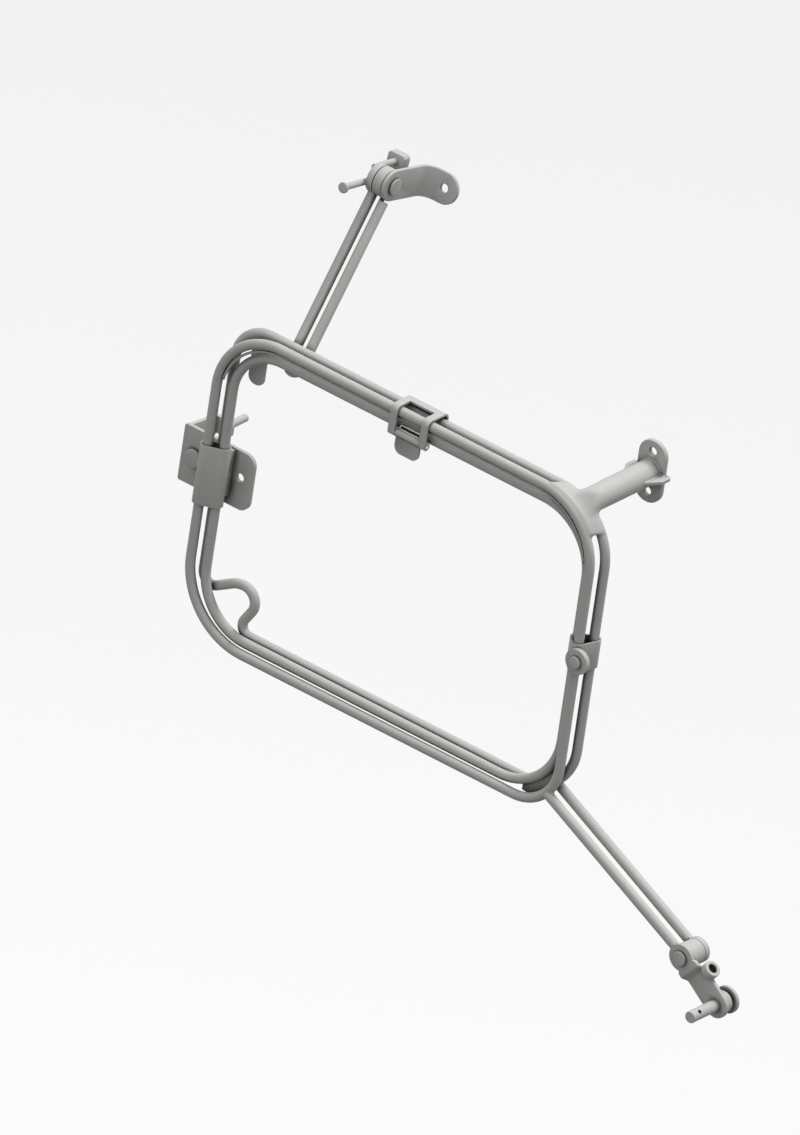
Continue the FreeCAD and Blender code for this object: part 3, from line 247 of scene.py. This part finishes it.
def made(shape, name, material):
    """A smooth-shaded object from a finished shape."""
    for face in shape.faces:
        face.smooth = True
    mesh = bpy.data.meshes.new(name)
    shape.to_mesh(mesh)
    shape.free()
    mesh.materials.append(material)
    piece = bpy.data.objects.new(name, mesh)
    bpy.context.scene.collection.objects.link(piece)
    return piece


def round_edges(piece, width_mm):
    rounding = piece.modifiers.new("edges", "BEVEL")
    rounding.width = width_mm * MM
    rounding.segments = EDGE_STEPS
    rounding.limit_method = "ANGLE"
    rounding.angle_limit = EDGE_ANGLE
    rounding.harden_normals = True


def soften(node, width_mm, change=None):
    shape = merged(node)
    if change:
        change(shape)
    bmesh.ops.dissolve_limit(shape, angle_limit=SAME_PLANE, verts=shape.verts, edges=shape.edges)
    piece = made(shape, node + "_soft", finish_of[slot_of[node]])
    round_edges(piece, width_mm)
    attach(piece, body_of[node])
    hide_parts(node)


EDGE_MM = {
    "clamp_bracket": 0.8, "clamp_sleeve": 0.7, "clamp_bolt": 1.2, "clamp_nut": 0.5, "side_clamp": 0.6,
    "side_screw": 1.0, "stub_flange": 0.8, "stub_fins": 0.8, "corner_tab": 0.7,
    "upper_link": 0.8, "upper_rivet": 0.9, "headed_pin": 0.9, "block_pin": 0.8,
    "foot_plate": 0.8, "foot_boss": 0.8, "lower_rivet": 0.9, "latch_bracket": 0.6,
    "upper_arm": 1.2, "lower_arm_front": 0.9, "lower_arm_rear": 0.9,
}
for node, width_mm in EDGE_MM.items():
    soften(node, width_mm)
print("softened", len(EDGE_MM), "pieces")


# %% [markdown]
# ## The corner web
# A sheet web fills the lower right corner between the inner and the front loop, and shows as a dark patch there.
# Its outline is drawn as a few corners, measured from where the front loop's bottom and right bars would meet, and
# is pulled to the sheet's thickness. Its rim runs into the bars.

# %% Corner web
WEB_CORNERS_MM = [(-46, 3), (-46, 13), (-40, 19), (-28, 28), (-11, 43), (-5, 46), (-3, 35), (-14, 14), (-35, 2)]
WEB_THICK_MM = 3.0
WEB_BEHIND_MM = 8.0
WEB_EDGE_MM = 0.7
BAR_RADIUS_MM = 5.0
front_low, front_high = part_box("front_loop")
bar_corner = (Vector((front_high.x, front_low.y, front_low.z))
              + mm(-BAR_RADIUS_MM, BAR_RADIUS_MM + WEB_BEHIND_MM, BAR_RADIUS_MM))
shape = bmesh.new()
outline = shape.faces.new([shape.verts.new(bar_corner + mm(x, 0, z)) for x, z in WEB_CORNERS_MM])
back = bmesh.ops.extrude_face_region(shape, geom=[outline])["geom"]
bmesh.ops.translate(shape, verts=only(back, BMVert), vec=mm(0, WEB_THICK_MM, 0))
bmesh.ops.recalc_face_normals(shape, faces=shape.faces)
bmesh.ops.bevel(shape, geom=shape.edges[:], offset=WEB_EDGE_MM * MM, segments=EDGE_STEPS, profile=0.5,
                affect="EDGES", material=-1)
web = made(shape, "corner_web_sheet", paint)
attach(web, "rack")
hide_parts("corner_web")
print("web", len(web.data.polygons), "faces")


# %% [markdown]
# ## The latch flap
# The flap's top edge is rolled round the hinge pin, and the sheet hangs from the back of the roll, so that the
# whole roll shows. The sheet is cut just below the roll, and everything under the cut is pushed back.

# %% Latch flap
BELOW_ROLL_MM = 4.2
SHEET_BACK_MM = 3.4
FLAP_EDGE_MM = 0.5
joint_at = {joint["name"]: Vector(joint["pos_m"]) for joint in frame["record"]["behaviour"]["joints"]}
hinge = joint_at["latch_hinge"]


def hang_behind_roll(shape):
    under = hinge.z - BELOW_ROLL_MM * MM
    sliced(shape, (0, 0, under), (0, 0, 1), False)
    low_verts = [vert for vert in shape.verts if vert.co.z < under + MERGE_MM * MM]
    bmesh.ops.translate(shape, verts=low_verts, vec=mm(0, SHEET_BACK_MM, 0))


soften("latch_flap", FLAP_EDGE_MM, hang_behind_roll)
print("flap hinge", tuple(round(c, 4) for c in hinge))


# %% [markdown]
# ## Weld metal, dressed smooth
# The real joints are welded, ground and painted, so one bar flows into the next in a small hollow curve. Such a
# fillet follows the crossing of two curved surfaces, which is hard to draw, so it is melted instead. The solids
# round a joint are copied, clipped to a box, swollen until they meet, and turned into one skin of small voxels.
# Smoothing then fills the inside corners and wears the outside ones away. The skin is drawn back a little, so that
# it lies hidden under the solids everywhere but in the corners.

# %% A function for weld metal
SWELL_MM = 0.3
DRAW_BACK_MM = 0.42
WEAR = 0.5


def clip(shape, low, high):
    """Cuts a shape down to its part inside a box, and closes it."""
    for axis in range(3):
        for corner, way in ((low, -1), (high, 1)):
            outward = Vector((0, 0, 0))
            outward[axis] = way
            sliced(shape, corner, outward, True)


def add_skin(piece, name, voxel_mm):
    skin = piece.modifiers.new(name, "REMESH")
    skin.mode = "VOXEL"
    skin.voxel_size = voxel_mm * MM
    skin.use_smooth_shade = True


def add_push(piece, name, out_mm):
    push = piece.modifiers.new(name, "DISPLACE")
    push.mid_level = 0
    push.strength = out_mm * MM


def weld_metal(name, nodes, low, high, voxel_mm=0.5, passes=24, close_mm=SWELL_MM, back_mm=DRAW_BACK_MM,
               change=None):
    joined = bmesh.new()
    for node in nodes:
        shape = merged(node)
        if change:
            change(node, shape)
        clip(shape, low, high)
        part = bpy.data.meshes.new("part")
        shape.to_mesh(part)
        shape.free()
        joined.from_mesh(part)
        bpy.data.meshes.remove(part)
    melt = made(joined, name + "_rough", paint)
    add_skin(melt, "first_skin", voxel_mm)
    add_push(melt, "swell", close_mm)
    add_skin(melt, "second_skin", voxel_mm)
    wear = melt.modifiers.new("wear", "SMOOTH")
    wear.factor = WEAR
    wear.iterations = passes
    add_push(melt, "draw", -back_mm)
    bpy.context.view_layer.update()
    mesh = bpy.data.meshes.new_from_object(melt.evaluated_get(bpy.context.evaluated_depsgraph_get()))
    mesh.name = name
    bpy.data.objects.remove(melt)
    mesh.materials.clear()
    mesh.materials.append(paint)
    piece = bpy.data.objects.new(name, mesh)
    bpy.context.scene.collection.objects.link(piece)
    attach(piece, body_of[nodes[0]])
    print(name, len(mesh.polygons), "faces")
    return piece


# %% [markdown]
# ## Where the welds are
# Each weld's box is set from the boxes of the pieces that meet there: the flange and fins on the stub, the lower
# arm on the loops, the pins on the upper eye, the boss on the foot plate, the corner tab, and the hairpin's bend.

# %% Welds
EYE_SPAN_MM = 32.0
EYE_IN_MM = 3.0
flange_low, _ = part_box("stub_flange")
fins_low, fins_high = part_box("stub_fins")
weld_metal("flange_weld", ["stub_tube", "stub_flange", "stub_fins"],
           fins_low - mm(1, 6, 12), Vector((fins_high.x, flange_low.y, fins_high.z)) + mm(1, 3, 12), passes=14)

arm_low, arm_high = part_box("lower_arm_front")
rear_arm_low, rear_arm_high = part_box("lower_arm_rear")
weld_metal("lower_arm_weld", ["lower_arm_front", "front_loop", "rear_loop", "lower_arm_rear"],
           Vector((arm_low.x, arm_low.y, arm_high.z)) - mm(16, 1, 26),
           Vector((rear_arm_low.x, rear_arm_high.y, rear_arm_high.z)) + mm(26, 1, 16),
           passes=30, close_mm=1.2, back_mm=1.3)

eye_low, eye_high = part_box("upper_arm")
pin_low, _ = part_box("headed_pin")
weld_metal("eye_pin_weld", ["upper_arm", "headed_pin", "block_pin"],
           Vector((pin_low.x, eye_high.y - EYE_SPAN_MM * MM, eye_high.z - EYE_SPAN_MM * MM)),
           Vector((eye_low.x + EYE_IN_MM * MM, eye_high.y, eye_high.z)), voxel_mm=0.4, passes=14)

boss_low, boss_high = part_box("foot_boss")
weld_metal("boss_weld", ["foot_plate", "foot_boss"], boss_low - mm(7, 4, 9), boss_high + mm(7, 4, 7),
           voxel_mm=0.4, passes=16)
tab_low, tab_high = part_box("corner_tab")
weld_metal("tab_weld", ["corner_tab", "rear_loop"], tab_low - mm(16, 12, -20), tab_high + mm(6, 1, 6), passes=16)
rear_low, rear_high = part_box("rear_loop")
weld_metal("hairpin_weld", ["upper_arm", "rear_loop"],
           Vector((eye_low.x, rear_low.y, rear_high.z)) - mm(6, 1, 24),
           Vector((eye_high.x, rear_high.y, rear_high.z)) + mm(6, 18, 12), passes=20)


# %% [markdown]
# ## The stub's root
# The stub tube grows out of the sheet saddle over the loops' upper right corner, and the joint is ground so smooth
# that no edge shows. The tube's front end is cut off along a ramp, the saddle is let in flush with the front bar,
# and all of it is melted into one skin, which stands for the saddle and the tube. The ramp is then rubbed smooth,
# in rounds that reach a little less far each time, so that it flows into the tube.

# %% Stub root
RAMP_OUT = Vector((0.566, 0, 0.824))
RAMP_TILT = math.radians(38)
RAMP_FROM_MM = 8.0
LET_IN_MM = 2.2
RUB_FROM_MM, RUB_TO_MM, RUB_UNDER_MM = 4.5, 50.0, 5.0
RUB_ROUNDS, RUB_PASSES = 9, 28
LESS_FAR_MM, LESS_DEEP_MM = 2.0, 1.0
saddle_low, saddle_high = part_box("corner_saddle")
tube_low, tube_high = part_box("stub_tube")
tube_middle = (tube_low + tube_high) / 2
loop_y = (front_low.y + front_high.y) / 2
ramp_normal = RAMP_OUT * math.cos(RAMP_TILT) - Vector((0, math.sin(RAMP_TILT), 0))
ramp_at = Vector((tube_middle.x, loop_y + RAMP_FROM_MM * MM, tube_middle.z)) + RAMP_OUT * MM


def let_in(node, shape):
    if node == "stub_tube":
        sliced(shape, ramp_at, ramp_normal, True)
    if node == "corner_saddle":
        bmesh.ops.translate(shape, verts=shape.verts, vec=-RAMP_OUT * LET_IN_MM * MM)


root = weld_metal("stub_root", ["corner_saddle", "stub_tube", "front_loop", "rear_loop"], saddle_low - mm(9, 9, 9),
                  Vector((saddle_high.x, flange_low.y, saddle_high.z)) + mm(9, 0.5, 9),
                  voxel_mm=0.6, passes=70, close_mm=1.3, back_mm=1.15, change=let_in)
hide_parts("corner_saddle", "stub_tube")
shape = bmesh.new()
shape.from_mesh(root.data)
for turn in range(RUB_ROUNDS):
    reach = (RUB_TO_MM - LESS_FAR_MM * turn) * MM
    under = (LESS_DEEP_MM * turn - RUB_UNDER_MM) * MM
    rubbed = [vert for vert in shape.verts if RUB_FROM_MM * MM < vert.co.y - loop_y < reach
              and (vert.co - tube_middle).dot(RAMP_OUT) > under]
    for _ in range(RUB_PASSES):
        bmesh.ops.smooth_vert(shape, verts=rubbed, factor=WEAR, use_axis_x=True, use_axis_y=True, use_axis_z=True)
shape.to_mesh(root.data)
shape.free()


# %% [markdown]
# ## The arms' shoulders
# Each arm is a pair of bars that run full and round into their eyes. In CAD their ends are cut away to clear the
# eyes, and a short length of round bar fills each cut. Its place is read from the arm: a plane through the bar
# gives a ring of points, whose middle is on the bar's axis, and two such rings give its direction. The inner upper
# shoulder stops further from its pivot, to leave room for the link.

# %% Arm shoulders
BAR_SIDES = 40
SHOULDER_EDGE_MM = 0.8
OUTER_END_MM, INNER_END_MM, LOWER_END_MM = 14.0, 17.7, 12.7
UPPER_FAR_MM, LOWER_FAR_MM, NEAR_MM = 80, 90, 40
EVERYWHERE = (-1, 1)


def ring_middle(node, axis, at, left, right):
    shape = merged(node)
    point = Vector((0, 0, 0))
    point[axis] = at
    outward = Vector((0, 0, 0))
    outward[axis] = 1
    ring = [vert.co.copy() for vert in sliced(shape, point, outward, False) if left < vert.co.x < right]
    shape.free()
    return Vector([(min(co[n] for co in ring) + max(co[n] for co in ring)) / 2 for n in range(3)])


def shoulder(name, node, far, near, pivot, pivot_axis, end_mm):
    """Round bar from a point on an arm's bar to a circle round the pivot."""
    way = (near - far).normalized()
    offset = near - pivot
    offset[pivot_axis] = 0
    flat = way.copy()
    flat[pivot_axis] = 0
    a, b, c = flat.dot(flat), offset.dot(flat), offset.dot(offset) - (end_mm * MM) ** 2
    length = (-b - math.sqrt(b * b - a * c)) / a
    shape = bmesh.new()
    bmesh.ops.create_circle(shape, cap_ends=True, segments=BAR_SIDES, radius=BAR_RADIUS_MM * MM)
    top = bmesh.ops.extrude_face_region(shape, geom=shape.faces[:])["geom"]
    bmesh.ops.translate(shape, verts=only(top, BMVert), vec=(0, 0, length))
    turn = Vector((0, 0, 1)).rotation_difference(way).to_matrix().to_4x4()
    bmesh.ops.transform(shape, matrix=Matrix.Translation(near) @ turn, verts=shape.verts)
    bmesh.ops.recalc_face_normals(shape, faces=shape.faces)
    piece = made(shape, name, paint)
    round_edges(piece, SHOULDER_EDGE_MM)
    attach(piece, body_of[node])
    print(name, round(length / MM, 1), "mm long")


upper_pivot = joint_at["upper_link_pivot"]
lower_pivot = joint_at["foot_pivot"]
arm_middle = eye_low.x + (eye_high.x - eye_low.x) / 2
for name, left, right, end_mm in (("outer_shoulder", eye_low.x - MM, arm_middle, OUTER_END_MM),
                                  ("inner_shoulder", arm_middle, eye_high.x + MM, INNER_END_MM)):
    far = ring_middle("upper_arm", 2, upper_pivot.z - UPPER_FAR_MM * MM, left, right)
    near = ring_middle("upper_arm", 2, upper_pivot.z - NEAR_MM * MM, left, right)
    shoulder(name, "upper_arm", far, near, upper_pivot, 0, end_mm)
for name, node in (("front_shoulder", "lower_arm_front"), ("rear_shoulder", "lower_arm_rear")):
    far = ring_middle(node, 0, lower_pivot.x - LOWER_FAR_MM * MM, *EVERYWHERE)
    near = ring_middle(node, 0, lower_pivot.x - NEAR_MM * MM, *EVERYWHERE)
    shoulder(name, node, far, near, lower_pivot, 1, LOWER_END_MM)


# %% [markdown]
# ## The seam under the top bar
# In the picture only a dark line shows between the front and inner loops' top bars. What closes the slit there
# can't be seen, so a thin rod under the front loop's top bar stands in for it. It is a thin copy of the loop
# itself: every point is drawn in towards the bar's middle line, and the thin loop is shrunk until it touches the
# bar's inner side. Only its upper part is kept.

# %% Top seam
SEAM_RADIUS_MM = 1.4
SEAM_IN_MM = 5.9
SEAM_FORWARD_MM = 0.8
SEAM_DOWN_MM = 64.0
shape = merged("front_loop")
shape.normal_update()
for vert in shape.verts:
    vert.co -= vert.normal * (BAR_RADIUS_MM - SEAM_RADIUS_MM) * MM
loop_middle = (front_low + front_high) / 2
loop_size = front_high - front_low
shrink = Matrix.Diagonal((1 - 2 * SEAM_IN_MM * MM / (loop_size.x - 2 * BAR_RADIUS_MM * MM), 1,
                          1 - 2 * SEAM_IN_MM * MM / (loop_size.z - 2 * BAR_RADIUS_MM * MM), 1))
to_seam = Matrix.Translation(loop_middle - mm(0, SEAM_FORWARD_MM, 0)) @ shrink @ Matrix.Translation(-loop_middle)
bmesh.ops.transform(shape, matrix=to_seam, verts=shape.verts)
sliced(shape, front_high - mm(0, 0, SEAM_DOWN_MM), (0, 0, -1), True)
seam = made(shape, "top_seam", paint)
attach(seam, "rack")
print("seam", len(seam.data.polygons), "faces")


# %% [markdown]
# ## The latch's spring
# Between the latch's legs a small spring of bright wire lies on the hinge roll and holds the flap shut. It is one
# wire bent into a long flat loop. A circle is the wire's section: it is spun half round at one end, pulled along,
# spun half round at the other end and pulled back. The loop is then tipped up and laid on the roll.

# %% Latch spring
WIRE_MM = 1.2
WIRE_SIDES = 10
SPRING_WIDE_MM = 3.8
SPRING_MM = 22.0
BEND_STEPS = 8
SPRING_RISE = math.radians(56)
WIRE_LEAN = math.radians(12)
_, flap_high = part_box("latch_flap")
roll_radius = flap_high.z - hinge.z
shape = bmesh.new()
ring = bmesh.ops.create_circle(shape, segments=WIRE_SIDES, radius=WIRE_MM / 2 * MM)["verts"]
to_start = Matrix.Translation(mm(SPRING_MM / 2, SPRING_WIDE_MM / 2, 0)) @ Matrix.Rotation(math.pi / 2, 4, "Y")
bmesh.ops.transform(shape, matrix=to_start, verts=ring)
edges = list({edge for vert in ring for edge in vert.link_edges})
for end in (1, -1):
    spun = bmesh.ops.spin(shape, geom=edges, cent=mm(end * SPRING_MM / 2, 0, 0), axis=(0, 0, -1), angle=math.pi,
                          steps=BEND_STEPS)
    pulled = bmesh.ops.extrude_edge_only(shape, edges=only(spun["geom_last"], BMEdge))["geom"]
    verts = only(pulled, BMVert)
    bmesh.ops.translate(shape, verts=verts, vec=mm(-end * SPRING_MM, 0, 0))
    edges = [edge for edge in only(pulled, BMEdge) if all(vert in verts for vert in edge.verts)]
bmesh.ops.remove_doubles(shape, verts=shape.verts, dist=MERGE_MM * MM)
bmesh.ops.recalc_face_normals(shape, faces=shape.faces)
leaning = Vector((0, math.sin(WIRE_LEAN), math.cos(WIRE_LEAN)))
rising = Vector((0, math.cos(SPRING_RISE), math.sin(SPRING_RISE)))
spring_at = hinge + leaning * (roll_radius + WIRE_MM / 2 * MM) + rising * SPRING_WIDE_MM / 2 * MM
to_roll = Matrix.Translation(spring_at) @ Matrix.Rotation(SPRING_RISE, 4, "X")
bmesh.ops.transform(shape, matrix=to_roll, verts=shape.verts)
spring = made(shape, "latch_spring", steel)
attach(spring, "rack")
print("spring", len(spring.data.polygons), "faces")


# %% [markdown]
# ## Studio
# The picture shows the rack floating over a pale sweep with no clear shadow. A large floor lies well below, so the
# soft shadow falls out of the frame. It glows pale where it is looked at, a little less at the far side, and is
# dark to the light that bounces off it, so that the undersides of the bars stay dark. One broad sun from above and
# behind lights the tops of the bars, and a sky that is brighter overhead fills the rest.

# %% Floor, sky and sun
FLOOR_BELOW = 1.3
FLOOR_SIDE = 40.0
FLOOR_GLOW = 0.8
FAR_WAY = (-0.572, 0.820, 0)
NEAR_M, FAR_M = 1.8, 4.1
SKY_LOW, SKY_HIGH = 0.45, 1.35
SUN_STRENGTH = 1.9
SUN_SOFT = math.radians(20)
SUN_FROM = Vector((0.15, 0.55, 1.0))

pale = new_material("pale_sweep")
tree = pale.node_tree
ray = add_node(tree, "ShaderNodeLightPath").outputs
mirrored = add_node(tree, "ShaderNodeMath", {"operation": "MAXIMUM"},
                    {0: ray["Is Camera Ray"], 1: ray["Is Glossy Ray"]})
seen = add_node(tree, "ShaderNodeMath", {"operation": "MAXIMUM"},
                {0: mirrored.outputs["Value"], 1: ray["Is Transmission Ray"]})
share = add_node(tree, "ShaderNodeMath", {"operation": "MULTIPLY"}, {0: seen.outputs["Value"]})
share.inputs[1].default_value = FLOOR_GLOW
tone = add_node(tree, "ShaderNodeMix", {"data_type": "RGBA", "A": linear("#4A4A4A"), "B": linear("#D8D8D8")},
                {"Factor": seen.outputs["Value"]})
matt = add_node(tree, "ShaderNodeBsdfDiffuse", None, {"Color": tone.outputs["Result"]})
spot = add_node(tree, "ShaderNodeTexCoord").outputs["Object"]
along = add_node(tree, "ShaderNodeVectorMath", {"operation": "DOT_PRODUCT"}, {0: spot})
along.inputs[1].default_value = FAR_WAY
far_off = add_node(tree, "ShaderNodeMapRange", {"From Min": NEAR_M, "From Max": FAR_M},
                   {"Value": along.outputs["Value"]})
sweep = add_node(tree, "ShaderNodeMix", {"data_type": "RGBA", "A": linear("#F9F9F9"), "B": linear("#EDEDED")},
                 {"Factor": far_off.outputs["Result"]})
glow = add_node(tree, "ShaderNodeEmission", {"Strength": 1.0}, {"Color": sweep.outputs["Result"]})
mixed = add_node(tree, "ShaderNodeMixShader", None,
                 {"Fac": share.outputs["Value"], 1: matt.outputs["BSDF"], 2: glow.outputs["Emission"]})
add_node(tree, "ShaderNodeOutputMaterial", None, {"Surface": mixed.outputs["Shader"]})

low, high = cad_box
centre = (low + high) / 2
floor_place = Matrix.Translation((centre.x, centre.y, low.z - FLOOR_BELOW))
shape = bmesh.new()
bmesh.ops.create_grid(shape, x_segments=1, y_segments=1, size=FLOOR_SIDE / 2, matrix=floor_place)
floor = made(shape, "floor", pale)

world = bpy.data.worlds.new("pale_sky")
bpy.context.scene.world = world
world.use_nodes = True
sky = world.node_tree
spot = add_node(sky, "ShaderNodeTexCoord").outputs["Generated"]
height = add_node(sky, "ShaderNodeSeparateXYZ", None, {"Vector": spot}).outputs["Z"]
glare = add_node(sky, "ShaderNodeMapRange", {"To Min": SKY_LOW, "To Max": SKY_HIGH}, {"Value": height})
background = sky.nodes["Background"]
background.inputs["Color"].default_value = linear("#F9F9F9")
sky.links.new(glare.outputs["Result"], background.inputs["Strength"])

sun_data = bpy.data.lights.new("broad_sun", "SUN")
sun_data.energy = SUN_STRENGTH
sun_data.angle = SUN_SOFT
sun = bpy.data.objects.new("broad_sun", sun_data)
sun.rotation_mode = "QUATERNION"
sun.rotation_quaternion = SUN_FROM.to_track_quat("Z", "Y")
bpy.context.scene.collection.objects.link(sun)
bpy.context.scene.view_settings.view_transform = "Standard"
print("floor at", round(low.z - FLOOR_BELOW, 3))


# %% [markdown]
# ## Camera
# The picture keeps parallel bars parallel, so the camera is orthographic. It looks down from the case's side, a
# little from the right, and is rolled so that the rack's uprights lean to the right. The aim is set from the front
# loop's centre, which the frame gives.

# %% Camera
PHOTO_HEIGHT = 1135
PIXELS_PER_MM = 1.05
RIGHT = Vector((0.7705, 0.6240, 0.1299)).normalized()
BACK = Vector((0.502, -0.720, 0.480)).normalized()
AIM_RIGHT_MM = 9.95
AIM_UP_MM = 0.37
DISTANCE = 3.0
loop_low, loop_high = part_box("front_loop")
up = BACK.cross(RIGHT).normalized()
right = up.cross(BACK).normalized()
aim = (loop_low + loop_high) / 2 + right * AIM_RIGHT_MM * MM + up * AIM_UP_MM * MM
camera_data = bpy.data.cameras.new("camera")
camera_data.type = "ORTHO"
camera_data.ortho_scale = PHOTO_HEIGHT / PIXELS_PER_MM * MM
camera = bpy.data.objects.new("camera", camera_data)
camera.rotation_mode = "QUATERNION"
camera.rotation_quaternion = Matrix((right, up, BACK)).transposed().to_quaternion()
camera.location = aim + BACK * DISTANCE
bpy.context.scene.collection.objects.link(camera)
bpy.context.scene.camera = camera
print("camera at", tuple(round(c, 3) for c in camera.location))
